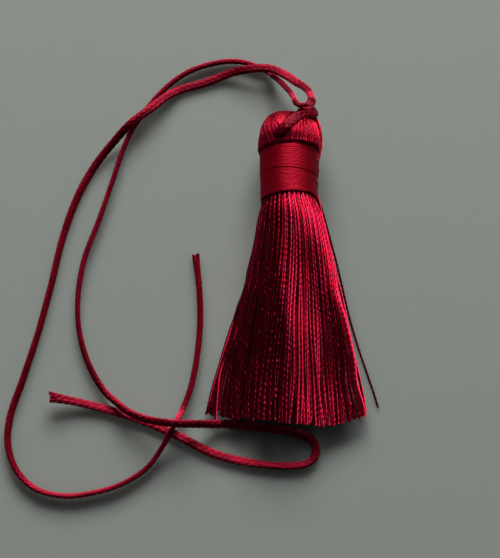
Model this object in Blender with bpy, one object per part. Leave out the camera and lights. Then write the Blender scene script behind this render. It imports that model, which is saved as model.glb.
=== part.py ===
"""Silk tassel lying on a table, with the two free tails of its hanging cord.

Metres, +Z up, the tassel's head towards +Y and the table at z = 0. A skein of twisted silk yarn is
folded over the cord, bound with fine thread at the neck and cut to one length. Its skirt has spread
and flattened under its own weight, so the underside is flat. The cord passes through the fold,
crosses the front of the head, is half-knotted on top, and its tails lie loosely beside the tassel.
"""

import math
from collections import namedtuple

import bmesh
import bpy
from mathutils import Vector

MM = 0.001
CLEARANCE = 0.3 * MM
ROUTE_FINENESS = 12
SHARP_ANGLE = math.radians(50)

# Neck and binding
NECK_X = 0.65 * MM
NECK_Z = 5.45 * MM
BAND_FOOT_Y = 11.9 * MM
BAND_HEAD_Y = 21.7 * MM
BAND_LAP_Y = 16.6 * MM
BAND_RADIUS = 5.45 * MM
BAND_LAP = 0.2 * MM
BAND_WALL = 0.5 * MM
BAND_EDGE = 0.4 * MM
BAND_EDGE_DROP = 0.1 * MM
BAND_SIDES = 56
NECK_RADIUS = BAND_RADIUS - BAND_WALL - CLEARANCE

# Skirt: the yarns all reach this far from the binding's lower edge
YARN_LENGTH = 43.4 * MM
UNDERCUT = 2.3 * MM
UNDERCUT_BELOW = 0.7
UNDERSIDE_TURN = 0.55
LOCKS = 28
POINTS_PER_LOCK = 3
SKIRT_RINGS = 19
LOCK_DEPTH_AT_NECK = 0.25 * MM
LOCK_DEPTH_AT_END = 0.6 * MM
TOOTH_NOTCH = 1.0 * MM
TOOTH_RAGGED = 0.6 * MM
TOOTH_LEAST = 0.25
LOCK_VARIETY = 0.5

# Head: the fold of the skein above the binding
HEAD_RINGS = 8
HEAD_FOOT_Y = BAND_HEAD_Y + CLEARANCE
HEAD_RISE = 8.0 * MM
HEAD_RADIUS = 5.97 * MM
HEAD_X = 0.65 * MM
HEAD_Z = 5.85 * MM
HEAD_LEAN = 1.0 * MM
HEAD_ROUND = 0.9
HEAD_SQUARE = 0.65
HEAD_LOCK_DEPTH = 0.15 * MM
HEAD_FIRST_LIFT = math.radians(8)
HEAD_LAST_LIFT = math.radians(86)

# Cord: a flat braid 1.7 mm wide and 1 mm thick, built as a round tube midway between the two
CORD_RADIUS = 0.7 * MM
CORD_STEP = 3.5 * MM
CORD_BEND_SHARE = 4.0 * MM
KNOT_STEP = 0.9 * MM
KNOT_SIDES = 8
BACK_LEG_RADIUS = 0.97 * CORD_RADIUS
TUNNEL_RADIUS = CORD_RADIUS + 1.1 * CLEARANCE
STRAY_RADIUS = 0.22 * MM
STRAY_STEP = 2.0 * MM

SILK_RED = (0.27, 0.004, 0.022, 1.0)
BAND_RED = (0.24, 0.003, 0.016, 1.0)
CORD_RED = (0.30, 0.004, 0.028, 1.0)

# Spread of the skirt, in millimetres: where it is, its middle, half its width, the height of its
# crown, the height of its widest line, and how far its underside is flattened (0 round, 1 flat)
Spread = namedtuple("Spread", "y middle half crown widest flat")
SKIRT = (
    Spread(-32.5, -0.2, 15.4, 5.9, 1.3, 1.0),
    Spread(-28.0, -0.1, 14.5, 6.3, 1.5, 1.0),
    Spread(-20.0, 0.2, 12.8, 7.0, 1.7, 1.0),
    Spread(-12.0, 0.5, 11.0, 7.9, 2.2, 1.0),
    Spread(-3.0, 0.9, 8.8, 9.0, 3.2, 1.0),
    Spread(4.0, 1.05, 7.2, 10.0, 4.2, 0.8),
    Spread(9.0, 0.85, 6.1, 10.8, 5.1, 0.3),
    Spread(11.2, 0.7, 5.4, 10.75, 5.4, 0.0),
)

# Routes of the cord in millimetres, from the knot to each cut end
TAIL_OUTER = (
    (5.0, 31.9, 8.0), (4.6, 33.4, 7.5), (3.84, 34.98, 6.3), (2.05, 37.09, 4.7),
    (-0.3, 39.12, 3.9), (-2.98, 40.71, 3.0), (-5.39, 40.91, 2.75), (-8.0, 40.86, 2.1),
    (-10.81, 40.48, 1.2), (-15.49, 38.73, 0.8), (-20.4, 37.14, 0.9), (-23.21, 35.21, 1.5),
    (-25.68, 32.74, 2.2), (-27.8, 30.9, 2.55), (-30.0, 28.9, 2.6), (-32.3, 26.6, 1.7),
    (-36.5, 21.1, 0.8), (-39.88, 14.11, 0.8), (-42.32, 5.93, 0.8), (-44.17, -3.5, 0.8),
    (-46.35, -13.17, 0.8), (-48.75, -21.79, 0.8), (-50.86, -29.19, 0.8), (-51.0, -34.61, 0.8),
    (-49.05, -39.46, 0.8), (-45.46, -42.72, 0.8), (-40.32, -43.94, 0.8), (-35.6, -43.44, 0.8),
    (-30.37, -41.86, 0.8), (-25.66, -38.83, 0.8), (-23.17, -35.63, 1.5), (-21.2, -32.3, 2.6),
    (-20.1, -29.9, 2.0), (-19.0, -27.2, 1.0), (-17.8, -23.8, 0.8), (-16.8, -18.9, 0.8),
    (-16.1, -11.8, 0.8), (-16.2, -5.0, 0.8), (-17.0, 2.7, 0.8),
)
TAIL_INNER = (
    (1.87, 31.62, 7.9), (1.2, 33.18, 7.3), (0.22, 35.45, 5.3), (-1.35, 38.64, 2.35),
    (-3.31, 40.84, 0.9), (-6.3, 42.55, 0.8), (-9.51, 43.2, 0.8), (-13.52, 42.83, 0.8),
    (-19.0, 40.8, 0.8), (-23.73, 36.84, 0.8), (-29.15, 29.27, 0.8), (-31.0, 25.0, 0.8),
    (-33.0, 18.2, 0.8), (-35.42, 10.02, 0.8), (-38.02, 2.02, 0.8), (-39.02, -5.5, 0.8),
    (-38.62, -12.31, 0.8), (-36.8, -18.6, 0.8), (-33.9, -23.8, 1.0), (-31.48, -26.4, 1.9),
    (-28.72, -28.71, 2.6), (-25.01, -30.26, 3.1), (-20.8, -31.18, 4.2), (-17.22, -31.05, 3.3),
    (-13.51, -30.63, 1.7), (-9.5, -30.47, 0.8), (-2.02, -31.38, 0.8), (2.0, -32.2, 0.8),
    (4.45, -33.3, 0.8), (5.35, -35.3, 0.8), (4.45, -37.3, 0.8), (2.0, -38.15, 0.8),
    (-1.5, -38.25, 0.8), (-6.0, -37.74, 0.8), (-11.99, -36.42, 0.8), (-15.89, -34.76, 0.8),
    (-19.87, -32.6, 0.8), (-26.98, -29.46, 0.8), (-33.5, -27.4, 0.8), (-39.5, -26.1, 1.3),
    (-43.5, -25.6, 2.2),
)
STRAY_YARN = (
    (7.69, 8.61, 3.6), (8.54, 5.56, 1.9), (9.46, 1.83, 0.7), (10.4, -2.46, 0.35),
    (11.8, -9.3, 0.25), (13.22, -14.78, 0.25), (14.76, -19.89, 0.25), (16.1, -24.23, 0.25),
    (16.85, -27.04, 0.25),
)

# The cord where the object holds it: each leg runs from its tail through the knot into the fold
FRONT_LEG = (
    (1.95, 31.1, 8.1), (2.35, 30.5, 8.5), (3.1, 30.2, 8.6), (4.1, 30.4, 7.9), (5.0, 30.5, 7.2),
    (5.6, 29.9, 7.4), (5.65, 28.9, 8.2), (4.85, 28.1, 9.0), (3.6, 27.75, 9.6), (2.2, 26.9, 10.3),
    (0.6, 25.4, 11.0), (-0.8, 24.0, 11.1), (-1.5, 23.5, 10.1), (-1.75, 23.6, 8.8),
    (-1.6, 24.0, 7.3), (-1.2, 24.6, 5.9),
)
BACK_LEG = (
    (5.0, 31.6, 8.15), (4.7, 30.5, 8.9), (4.0, 29.4, 9.0), (3.3, 29.2, 8.0), (3.1, 29.6, 6.9),
    (3.3, 29.7, 5.8), (3.4, 29.5, 4.6), (3.1, 28.9, 3.2), (2.5, 27.9, 1.9), (1.8, 26.9, 1.4),
    (0.9, 25.9, 1.8), (0.0, 25.1, 3.0), (-0.8, 24.7, 4.4), (-1.3, 24.4, 5.6), (-1.7, 24.2, 6.8),
)


def clear_scene():
    for obj in list(bpy.data.objects):
        bpy.data.objects.remove(obj)


def silk(name, colour, roughness):
    material = bpy.data.materials.new(name)
    material.use_nodes = True
    shader = material.node_tree.nodes["Principled BSDF"]
    shader.inputs["Base Color"].default_value = colour
    shader.inputs["Roughness"].default_value = roughness
    shader.inputs["Metallic"].default_value = 0.0
    return material


def place(name, data, material):
    data.materials.append(material)
    obj = bpy.data.objects.new(name, data)
    bpy.context.scene.collection.objects.link(obj)
    return obj


def catmull_rom(before, start, end, after, t):
    """A point between start and end on the centripetal Catmull-Rom curve through the four."""
    knots = [0.0]
    for a, b in ((before, start), (start, end), (end, after)):
        knots.append(knots[-1] + max((b - a).length, 1e-9) ** 0.5)
    k0, k1, k2, k3 = knots
    k = k1 + (k2 - k1) * t
    a1 = before.lerp(start, (k - k0) / (k1 - k0))
    a2 = start.lerp(end, (k - k1) / (k2 - k1))
    a3 = end.lerp(after, (k - k2) / (k3 - k2))
    b1 = a1.lerp(a2, (k - k0) / (k2 - k0))
    b2 = a2.lerp(a3, (k - k1) / (k3 - k1))
    return b1.lerp(b2, (k - k1) / (k2 - k1))


def smooth_route(route, step, bend_share=0.0):
    """Points about a step apart on the smooth curve through a route in millimetres.

    bend_share brings them closer in a bend, by that much length for each radian of turn.
    """
    points = [Vector(p) * MM for p in route]
    first = points[0] * 2 - points[1]
    last = points[-1] * 2 - points[-2]
    posts = [first, *points, last]
    fine = []
    for i in range(1, len(posts) - 2):
        span = posts[i - 1 : i + 3]
        fine += [catmull_rom(*span, t / ROUTE_FINENESS) for t in range(ROUTE_FINENESS)]
    fine.append(points[-1])
    along = [0.0]
    for i, (a, b) in enumerate(zip(fine, fine[1:])):
        turn = (b - a).angle(fine[i + 2] - b) if i + 2 < len(fine) else 0.0
        along.append(along[-1] + (b - a).length + bend_share * turn)
    count = max(2, round(along[-1] / step))
    out = []
    post = 0
    for i in range(count + 1):
        wanted = along[-1] * i / count
        while post < len(fine) - 2 and along[post + 1] < wanted:
            post += 1
        share = (wanted - along[post]) / (along[post + 1] - along[post])
        out.append(fine[post].lerp(fine[post + 1], share))
    return out


def tube(name, points, radius, material):
    curve = bpy.data.curves.new(name, "CURVE")
    curve.dimensions = "3D"
    curve.bevel_depth = radius
    curve.bevel_resolution = 2
    curve.use_fill_caps = True
    spline = curve.splines.new("POLY")
    spline.points.add(len(points) - 1)
    for target, p in zip(spline.points, points):
        target.co = (*p, 1.0)
    return place(name, curve, material)


def mesh_of_tube(name, points, radius, material):
    """The same tube as a closed mesh, for a Boolean."""
    bm = bmesh.new()
    rings = []
    ahead = (points[1] - points[0]).normalized()
    side = ahead.orthogonal().normalized()
    for i, p in enumerate(points):
        behind = points[max(i - 1, 0)]
        beyond = points[min(i + 1, len(points) - 1)]
        turned = (beyond - behind).normalized()
        side = (side - turned * side.dot(turned)).normalized()
        up = turned.cross(side)
        ring = []
        for k in range(KNOT_SIDES):
            angle = 2 * math.pi * k / KNOT_SIDES
            ring.append(bm.verts.new(p + (side * math.cos(angle) + up * math.sin(angle)) * radius))
        rings.append(ring)
    join_rings(bm, rings)
    bm.faces.new(reversed(rings[0]))
    bm.faces.new(rings[-1])
    return mesh_object(name, bm, material)


def join_rings(bm, rings):
    for lower, upper in zip(rings, rings[1:]):
        for k in range(len(lower)):
            after = (k + 1) % len(lower)
            bm.faces.new((lower[k], lower[after], upper[after], upper[k]))


def mesh_object(name, bm, material):
    bmesh.ops.recalc_face_normals(bm, faces=bm.faces)
    mesh = bpy.data.meshes.new(name)
    bm.to_mesh(mesh)
    bm.free()
    mesh.shade_smooth()
    mesh.set_sharp_from_angle(angle=SHARP_ANGLE)
    return place(name, mesh, material)


def combine(target, other, operation):
    modifier = target.modifiers.new(operation.title(), "BOOLEAN")
    modifier.operation = operation
    modifier.object = other
    other.hide_render = True
    other.display_type = "WIRE"


def spread_at(y):
    """The skirt's spread at one place, read smoothly from the table. All in metres."""
    y_mm = y / MM
    for below, above in zip(SKIRT, SKIRT[1:]):
        if y_mm <= above.y or above is SKIRT[-1]:
            break
    low = SKIRT[max(SKIRT.index(below) - 1, 0)]
    high = SKIRT[min(SKIRT.index(above) + 1, len(SKIRT) - 1)]
    t = (y_mm - below.y) / (above.y - below.y)

    def smooth(column):
        a, b = getattr(below, column), getattr(above, column)
        span = above.y - below.y
        slope_a = (b - getattr(low, column)) / (above.y - low.y) * span
        slope_b = (getattr(high, column) - a) / (high.y - below.y) * span
        return (
            (2 * t**3 - 3 * t**2 + 1) * a
            + (t**3 - 2 * t**2 + t) * slope_a
            + (3 * t**2 - 2 * t**3) * b
            + (t**3 - t**2) * slope_b
        )

    return Spread(
        y,
        smooth("middle") * MM,
        smooth("half") * MM,
        smooth("crown") * MM,
        smooth("widest") * MM,
        min(1.0, max(0.0, smooth("flat"))),
    )


def lock_wave(index):
    """1 on a lock's ridge and 0 in the furrow between two locks."""
    return 1.0 if index % POINTS_PER_LOCK == 1 else 0.0


def unevenness(index, salt):
    """A fixed value from -1 to 1 that differs from lock to lock."""
    lock = index // POINTS_PER_LOCK
    return math.sin(lock * 12.9 + salt * 3.7) * math.cos(lock * 4.1 + salt)


def skirt_point(y, angle, depth):
    """A point on the skirt's skin, sunk by depth. Below the widest line it flattens to the table."""
    s = spread_at(y)
    across, up = math.cos(angle), math.sin(angle)
    x = s.middle + s.half * across
    if up >= 0:
        return Vector((x - depth * across, y, s.widest + (s.crown - s.widest) * up - depth * up))
    under = max(0.0, 1 + up / UNDERSIDE_TURN)
    rounded = s.widest * (1 + up)
    flattened = s.widest * under**2
    z = rounded + (flattened - rounded) * s.flat
    return Vector((x - depth * across * under, y, max(0.0, z)))


def skirt_end(index, angle):
    """Where the yarns at this angle are cut: an arc round the neck, set back on the underside."""
    y = BAND_FOOT_Y - YARN_LENGTH
    for _ in range(4):
        p = skirt_point(y, angle, 0.0)
        reach = math.sqrt(YARN_LENGTH**2 - (p.x - NECK_X) ** 2)
        y = BAND_FOOT_Y - reach
    height = p.z / spread_at(y).crown
    set_back = UNDERCUT * (1 - min(1.0, height / UNDERCUT_BELOW))
    tooth = TOOTH_NOTCH * (1 - lock_wave(index)) + TOOTH_RAGGED * unevenness(index, 1.0)
    return y + set_back + tooth * min(1.0, TOOTH_LEAST + height)


def skirt_rings(bm, angles):
    rings = []
    for ring in range(SKIRT_RINGS):
        share = ring / (SKIRT_RINGS - 1)
        verts = []
        for index, angle in enumerate(angles):
            end = skirt_end(index, angle)
            y = end + (SKIRT[-1].y * MM - end) * share
            depth = LOCK_DEPTH_AT_END + (LOCK_DEPTH_AT_NECK - LOCK_DEPTH_AT_END) * share
            depth *= (1 - lock_wave(index)) * (1 + LOCK_VARIETY * unevenness(index, 2.0))
            verts.append(bm.verts.new(skirt_point(y, angle, depth)))
        rings.append(verts)
    return rings


def neck_ring(bm, angles, y):
    return [
        bm.verts.new((NECK_X + NECK_RADIUS * math.cos(a), y, NECK_Z + NECK_RADIUS * math.sin(a)))
        for a in angles
    ]


def head_ring(bm, angles, lift):
    """A ring of the head. lift is 0 at its foot and a right angle at its top."""
    ring = []
    for index, angle in enumerate(angles):
        across, up = math.cos(angle), math.sin(angle)
        squareness = HEAD_ROUND + (HEAD_SQUARE - HEAD_ROUND) * max(0.0, across)
        narrowing = math.cos(lift) ** squareness
        radius = HEAD_RADIUS - HEAD_LOCK_DEPTH * (1 - lock_wave(index)) * math.cos(lift)
        lean = HEAD_LEAN * math.sin(lift) ** 2 * (1 - max(0.0, across) * narrowing)
        x = HEAD_X + radius * across * narrowing - lean
        y = HEAD_FOOT_Y + HEAD_RISE * math.sin(lift) ** squareness
        z = HEAD_Z + radius * up * math.cos(lift) ** HEAD_ROUND
        ring.append(bm.verts.new((x, y, max(0.0, z))))
    return ring


def hank(material):
    bm = bmesh.new()
    count = LOCKS * POINTS_PER_LOCK
    angles = [2 * math.pi * k / count for k in range(count)]
    rings = skirt_rings(bm, angles)
    rings.append(neck_ring(bm, angles, BAND_FOOT_Y - CLEARANCE))
    rings.append(neck_ring(bm, angles, HEAD_FOOT_Y))
    rise = (HEAD_LAST_LIFT - HEAD_FIRST_LIFT) / (HEAD_RINGS - 1)
    rings += [head_ring(bm, angles, HEAD_FIRST_LIFT + rise * k) for k in range(HEAD_RINGS)]
    join_rings(bm, rings)
    cut_end = rings[0]
    centre = bm.verts.new(sum((v.co for v in cut_end), Vector()) / count)
    for k in range(count):
        bm.faces.new((cut_end[k], centre, cut_end[(k + 1) % count]))
    bm.faces.new(rings[-1])
    return mesh_object("hank", bm, material)


def band(material):
    """The wound binding: a sleeve in two passes, the upper lapping over the lower."""
    inner = BAND_RADIUS - BAND_WALL
    lapped = BAND_RADIUS + BAND_LAP
    profile = (
        (BAND_FOOT_Y, inner), (BAND_FOOT_Y, BAND_RADIUS - BAND_EDGE_DROP),
        (BAND_FOOT_Y + BAND_EDGE, BAND_RADIUS), (BAND_LAP_Y - BAND_LAP, BAND_RADIUS),
        (BAND_LAP_Y, lapped), (BAND_HEAD_Y - BAND_EDGE, lapped),
        (BAND_HEAD_Y, BAND_RADIUS), (BAND_HEAD_Y, inner),
    )
    bm = bmesh.new()
    rings = []
    for y, radius in profile:
        ring = []
        for k in range(BAND_SIDES):
            angle = 2 * math.pi * k / BAND_SIDES
            x = NECK_X + radius * math.cos(angle)
            ring.append(bm.verts.new((x, y, max(0.0, NECK_Z + radius * math.sin(angle)))))
        rings.append(ring)
    join_rings(bm, [*rings, rings[0]])
    return mesh_object("band", bm, material)


def cord_knot(material):
    """The cord through the fold and its half knot: two legs that become one solid."""
    front = mesh_of_tube("cord_knot", smooth_route(FRONT_LEG, KNOT_STEP), CORD_RADIUS, material)
    back = mesh_of_tube("back_leg", smooth_route(BACK_LEG, KNOT_STEP), BACK_LEG_RADIUS, material)
    combine(front, back, "UNION")


def tunnel(hank_object, material):
    """Opens the fold for the cord, with clearance all round. The front one ends in the back one."""
    front = smooth_route(FRONT_LEG, KNOT_STEP)[:-1]
    back = smooth_route(BACK_LEG, KNOT_STEP)
    for name, route in (("front_tunnel", front), ("back_tunnel", back)):
        cutter = mesh_of_tube(name, route, TUNNEL_RADIUS, material)
        combine(hank_object, cutter, "DIFFERENCE")


def build():
    clear_scene()
    yarn = silk("silk_yarn", SILK_RED, 0.35)
    thread = silk("binding_thread", BAND_RED, 0.3)
    braid = silk("silk_braid", CORD_RED, 0.4)
    skein = hank(yarn)
    band(thread)
    cord_knot(braid)
    tunnel(skein, yarn)
    outer = smooth_route(TAIL_OUTER, CORD_STEP, CORD_BEND_SHARE)
    inner = smooth_route(TAIL_INNER, CORD_STEP, CORD_BEND_SHARE)
    tube("tail_outer", outer, CORD_RADIUS, braid)
    tube("tail_inner", inner, CORD_RADIUS, braid)
    tube("stray_yarn", smooth_route(STRAY_YARN, STRAY_STEP), STRAY_RADIUS, yarn)


build()
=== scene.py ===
"""Silk tassel lying on a table: the yarns of skirt and fold, the wound binding and the braid.

The tassel's head is towards +Y and the table is at z = 0. Sizes are in millimetres times MM.
"""

import math
import random

import bpy
import numpy as np
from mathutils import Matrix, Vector


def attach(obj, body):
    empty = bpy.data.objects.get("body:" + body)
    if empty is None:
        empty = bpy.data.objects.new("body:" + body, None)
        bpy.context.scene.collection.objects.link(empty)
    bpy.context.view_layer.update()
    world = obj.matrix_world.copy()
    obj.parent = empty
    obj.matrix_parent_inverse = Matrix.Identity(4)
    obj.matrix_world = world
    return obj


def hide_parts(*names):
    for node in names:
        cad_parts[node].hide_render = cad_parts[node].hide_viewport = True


MM = 0.001
SEED = 11

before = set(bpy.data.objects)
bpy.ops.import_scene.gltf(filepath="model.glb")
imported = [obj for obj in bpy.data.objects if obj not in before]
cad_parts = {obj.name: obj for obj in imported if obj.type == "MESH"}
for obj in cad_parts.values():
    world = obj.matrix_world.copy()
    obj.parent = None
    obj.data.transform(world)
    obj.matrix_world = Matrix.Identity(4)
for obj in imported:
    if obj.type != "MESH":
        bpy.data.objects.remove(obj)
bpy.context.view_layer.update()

# Two-ply yarn
YARN_WIDE = 0.46 * MM
YARN_WAIST = 0.76
PLY_TURN = -2.15 * MM
# The same yarn where it lies packed against its neighbours, and how far it's flattened there
PACKED_WIDE, PACKED_PRESS, PACKED_WAIST = 0.62 * MM, 0.38, 0.68
FOLDED_WIDE = PACKED_WIDE * 0.9
# How far apart the rings of a swept piece are
YARN_STEP, HEART_STEP, STRAY_STEP, CORD_STEP = 0.28 * MM, 0.55 * MM, 0.27 * MM, 0.155 * MM

# Neck, binding and skirt
NECK_X, NECK_Z = 0.65 * MM, 5.45 * MM
BAND_FOOT, BAND_LAP, BAND_TOP = 11.9 * MM, 16.6 * MM, 21.7 * MM
BAND_RADIUS = 5.45 * MM
LAP_RISE = 0.2 * MM
LOCKS = 26
HEART_YARNS = 130
# How long the yarns hang below the binding, by where their cut end is across the skirt
REACH = (
    (-14.9, 41.8), (-14.45, 42.2), (-14.3, 43.3), (-9.3, 43.5), (-4.9, 43.1), (-0.8, 43.6),
    (6.5, 43.8), (9.6, 43.85), (12.0, 43.8), (13.5, 43.6), (14.7, 42.7),
)
UNDERCUT = 2.3 * MM
# How far the skirt's right edge bulges up, most of the way down to the cut ends
EDGE_BULGE = 1.2 * MM

# Where the skirt is, its middle, half its width, the height of its crown and of its widest line,
# and how far its underside is flattened
SKIRT = np.array([
    (-32.5, -0.2, 15.6, 6.5, 1.3, 1.0),
    (-28.0, -0.1, 14.75, 7.1, 1.5, 1.0),
    (-20.0, 0.2, 12.95, 8.3, 1.7, 1.0),
    (-12.0, 0.5, 11.0, 9.8, 2.2, 1.0),
    (-3.0, 0.9, 8.85, 11.1, 3.2, 1.0),
    (4.0, 1.05, 7.25, 11.7, 4.2, 0.8),
    (9.0, 0.85, 6.15, 11.4, 5.1, 0.3),
    (11.2, 0.7, 5.4, 10.8, 5.4, 0.0),
    (14.0, 0.65, 4.95, 10.4, 5.45, 0.0),
])

# Yarns along the two edges of the skirt, from the binding to their cut ends
EDGE_YARNS = (
    ((-4.0, 13.4, 5.4), (-4.3, 12.3, 5.4), (-5.0, 7.5, 4.8), (-5.9, 3.4, 4.1), (-6.6, 0.1, 3.6),
     (-7.4, -3.1, 3.2), (-8.25, -6.1, 2.8), (-9.0, -8.6, 2.6), (-10.1, -11.5, 2.3),
     (-10.9, -13.9, 2.1), (-11.65, -16.4, 1.9), (-12.6, -19.9, 1.7), (-13.6, -23.3, 1.6),
     (-14.4, -26.9, 1.5)),
    ((-3.8, 13.4, 5.0), (-4.1, 12.3, 5.0), (-4.9, 7.5, 4.4), (-5.8, 3.4, 3.8), (-6.5, 0.1, 3.3),
     (-7.2, -3.1, 2.9), (-8.3, -6.1, 2.5), (-9.0, -8.9, 2.2), (-9.9, -11.5, 2.1),
     (-10.8, -13.9, 1.9), (-11.5, -16.4, 1.7), (-12.5, -19.9, 1.5), (-13.4, -24.1, 1.3),
     (-14.1, -28.4, 1.2)),
    ((-3.6, 13.4, 5.6), (-3.9, 12.3, 5.8), (-4.6, 7.5, 5.5), (-5.4, 3.4, 4.9), (-6.2, 0.1, 4.4),
     (-6.6, -3.1, 3.9), (-7.2, -6.1, 3.4), (-8.2, -8.6, 3.0), (-9.0, -11.5, 2.7),
     (-9.7, -13.9, 2.5), (-10.6, -16.4, 2.2), (-12.1, -19.9, 1.9), (-12.7, -24.1, 2.2),
     (-13.1, -30.2, 1.9)),
    ((5.8, 13.4, 5.4), (6.05, 12.7, 5.4), (7.2, 7.1, 4.8), (8.0, 4.1, 4.2), (8.75, 0.7, 3.7),
     (9.6, -3.1, 3.2), (10.35, -6.1, 2.8), (11.15, -10.3, 2.4), (11.85, -14.1, 2.1),
     (12.65, -18.0, 1.8), (13.5, -22.0, 1.6), (14.1, -25.2, 1.6), (14.5, -28.1, 1.5)),
    ((5.6, 13.4, 5.1), (5.9, 12.7, 5.1), (7.0, 7.1, 4.5), (7.6, 4.1, 3.9), (8.2, 0.7, 3.4),
     (8.9, -3.1, 2.9), (9.5, -6.1, 2.5), (10.6, -10.3, 2.1), (11.6, -14.1, 1.8),
     (12.4, -18.0, 1.6), (13.4, -22.0, 1.4), (13.9, -25.2, 1.3), (14.2, -28.5, 1.2)),
)
# Where the skirt's edge draws in behind an edge yarn and leaves a chink: which side, the middle and
# half the length of the chink, and how far it draws in
CHINKS = (
    (-1, -4.6, 3.2, 0.35), (-1, -14.2, 4.0, 0.40), (1, -6.8, 4.4, 0.40), (1, -23.2, 4.0, 0.40),
)

# Flat braided cord
CORD_WIDE, CORD_THICK = 1.7 * MM, 1.0 * MM
KNOT_WIDER = 0.22
STITCH = 1.26 * MM
STITCH_COLUMNS = 8
STITCH_RISE = 0.12 * MM
# The height that a tail's places below have where it lies on the table
CORD_LIES = 0.8 * MM
TAIL_OUTER = (
    (5.0, 31.9, 8.0), (4.6, 33.4, 7.5), (3.84, 34.98, 6.3), (2.05, 37.09, 4.7),
    (-0.3, 39.12, 3.9), (-2.98, 40.71, 3.0), (-5.39, 40.91, 2.75), (-8.0, 40.86, 2.1),
    (-10.81, 40.48, 1.2), (-15.49, 38.73, 0.8), (-20.4, 37.14, 0.9), (-23.21, 35.21, 1.5),
    (-25.68, 32.74, 2.2), (-27.8, 30.9, 2.55), (-30.0, 28.9, 2.6), (-32.3, 26.6, 1.7),
    (-36.5, 21.1, 0.8), (-39.88, 14.11, 0.8), (-42.32, 5.93, 0.8), (-44.17, -3.5, 0.8),
    (-46.35, -13.17, 0.8), (-48.75, -21.79, 0.8), (-50.86, -29.19, 0.8), (-51.0, -34.61, 0.8),
    (-49.05, -39.46, 0.8), (-45.46, -42.72, 0.8), (-40.32, -43.94, 0.8), (-35.6, -43.44, 0.8),
    (-30.37, -41.86, 0.8), (-25.66, -38.83, 0.8), (-23.17, -35.63, 1.5), (-21.2, -32.3, 2.6),
    (-20.1, -29.9, 2.0), (-19.0, -27.2, 1.0), (-17.8, -23.8, 0.8), (-16.8, -18.9, 0.8),
    (-16.1, -11.8, 0.8), (-16.2, -5.0, 0.8), (-17.0, 2.7, 0.8),
)
TAIL_INNER = (
    (1.87, 31.62, 7.9), (1.2, 33.18, 7.3), (0.22, 35.45, 5.3), (-1.35, 38.64, 2.35),
    (-3.31, 40.84, 0.9), (-6.3, 42.55, 0.8), (-9.51, 43.2, 0.8), (-13.52, 42.83, 0.8),
    (-19.0, 40.8, 0.8), (-23.73, 36.84, 0.8), (-29.15, 29.27, 0.8), (-31.0, 25.0, 0.8),
    (-33.0, 18.2, 0.8), (-35.42, 10.02, 0.8), (-38.02, 2.02, 0.8), (-39.02, -5.5, 0.8),
    (-38.62, -12.31, 0.8), (-36.8, -18.6, 0.8), (-33.9, -23.8, 1.0), (-31.48, -26.4, 1.9),
    (-28.72, -28.71, 2.6), (-25.01, -30.26, 3.1), (-20.8, -31.18, 4.2), (-17.22, -31.05, 3.3),
    (-13.51, -30.63, 1.7), (-9.5, -30.47, 0.8), (-2.02, -31.38, 0.8), (2.0, -32.2, 0.8),
    (4.45, -33.3, 0.8), (5.35, -35.3, 0.8), (4.45, -37.3, 0.8), (2.0, -38.15, 0.8),
    (-1.5, -38.25, 0.8), (-6.0, -37.74, 0.8), (-11.99, -36.42, 0.8), (-15.89, -34.76, 0.8),
    (-19.87, -32.6, 0.8), (-26.98, -29.46, 0.8), (-33.5, -27.4, 0.8), (-39.5, -26.1, 1.3),
    (-43.5, -25.6, 2.2),
)
FRONT_LEG = (
    (1.95, 31.1, 8.1), (2.35, 30.5, 8.5), (3.1, 30.2, 8.6), (4.1, 30.4, 7.9), (4.8, 30.5, 7.2),
    (5.35, 29.9, 7.4), (5.4, 28.9, 8.3), (4.7, 28.1, 9.3), (3.6, 27.75, 10.0), (2.2, 26.9, 10.85),
    (0.6, 25.4, 11.5), (-0.7, 24.0, 11.55), (-1.6, 23.0, 10.8), (-1.85, 23.0, 9.3),
    (-1.6, 24.0, 7.3), (-1.2, 24.6, 5.9),
)
BACK_LEG = (
    (5.0, 31.6, 8.15), (4.7, 30.5, 8.9), (4.0, 29.4, 9.0), (3.3, 29.2, 8.0), (3.1, 29.6, 6.9),
    (3.3, 29.7, 5.8), (3.4, 29.5, 4.6), (3.1, 28.9, 3.2), (2.5, 27.9, 1.9), (1.8, 26.9, 1.4),
    (0.9, 25.9, 1.8), (0.0, 25.1, 3.0), (-0.8, 24.7, 4.4), (-1.3, 24.4, 5.6), (-1.7, 24.2, 6.8),
)
STRAY_YARN = (
    (6.55, 11.3, 5.0), (7.4, 8.61, 3.9), (8.45, 5.2, 2.1), (9.46, 1.83, 0.7), (10.4, -2.46, 0.35),
    (11.8, -9.3, 0.25), (13.22, -14.78, 0.25), (14.76, -19.89, 0.25), (16.1, -24.23, 0.25),
    (16.85, -27.04, 0.25),
)
# How far the braid is turned from lying flat, in degrees, at so many millimetres from the knot
OUTER_TURN = (
    (0, 15), (18, 12), (33, 18), (41, 28), (50, 50), (61, 50), (73, 63), (90, 70), (105, 62),
    (120, 60), (135, 68), (143, 80), (152, 70), (165, 64), (185, 64), (190, 50),
)
INNER_TURN = (
    (0, 25), (8, 42), (20, 82), (33, 88), (45, 86), (55, 88), (65, 68), (77, 66), (85, 80),
    (97, 65), (110, 60), (123, 52), (135, 42), (145, 32), (155, 38), (163, 5), (172, 0),
    (180, 12), (189, 20), (198, 10),
)

# Rounded head of the fold: its axis, radius, where the rounding starts and how high it rises
HEAD_X, HEAD_Z, HEAD_RADIUS = 0.65, 5.85, 5.97
HEAD_FOOT, HEAD_RISE, HEAD_LEAN = 22.0, 8.0, 1.0
HEAD_MIDDLE = np.array((HEAD_X, 25.0, HEAD_Z)) * MM
# How deep, in millimetres, the yarns that close the fold lie under the others, and how low the
# middle of a yarn can be where the head rests on the table
BRIDGE_SUNK = 0.42
PRESSED_YARN = 0.13 * MM


def smooth_step(t):
    t = np.clip(t, 0, 1)
    return t * t * (3 - 2 * t)


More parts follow.
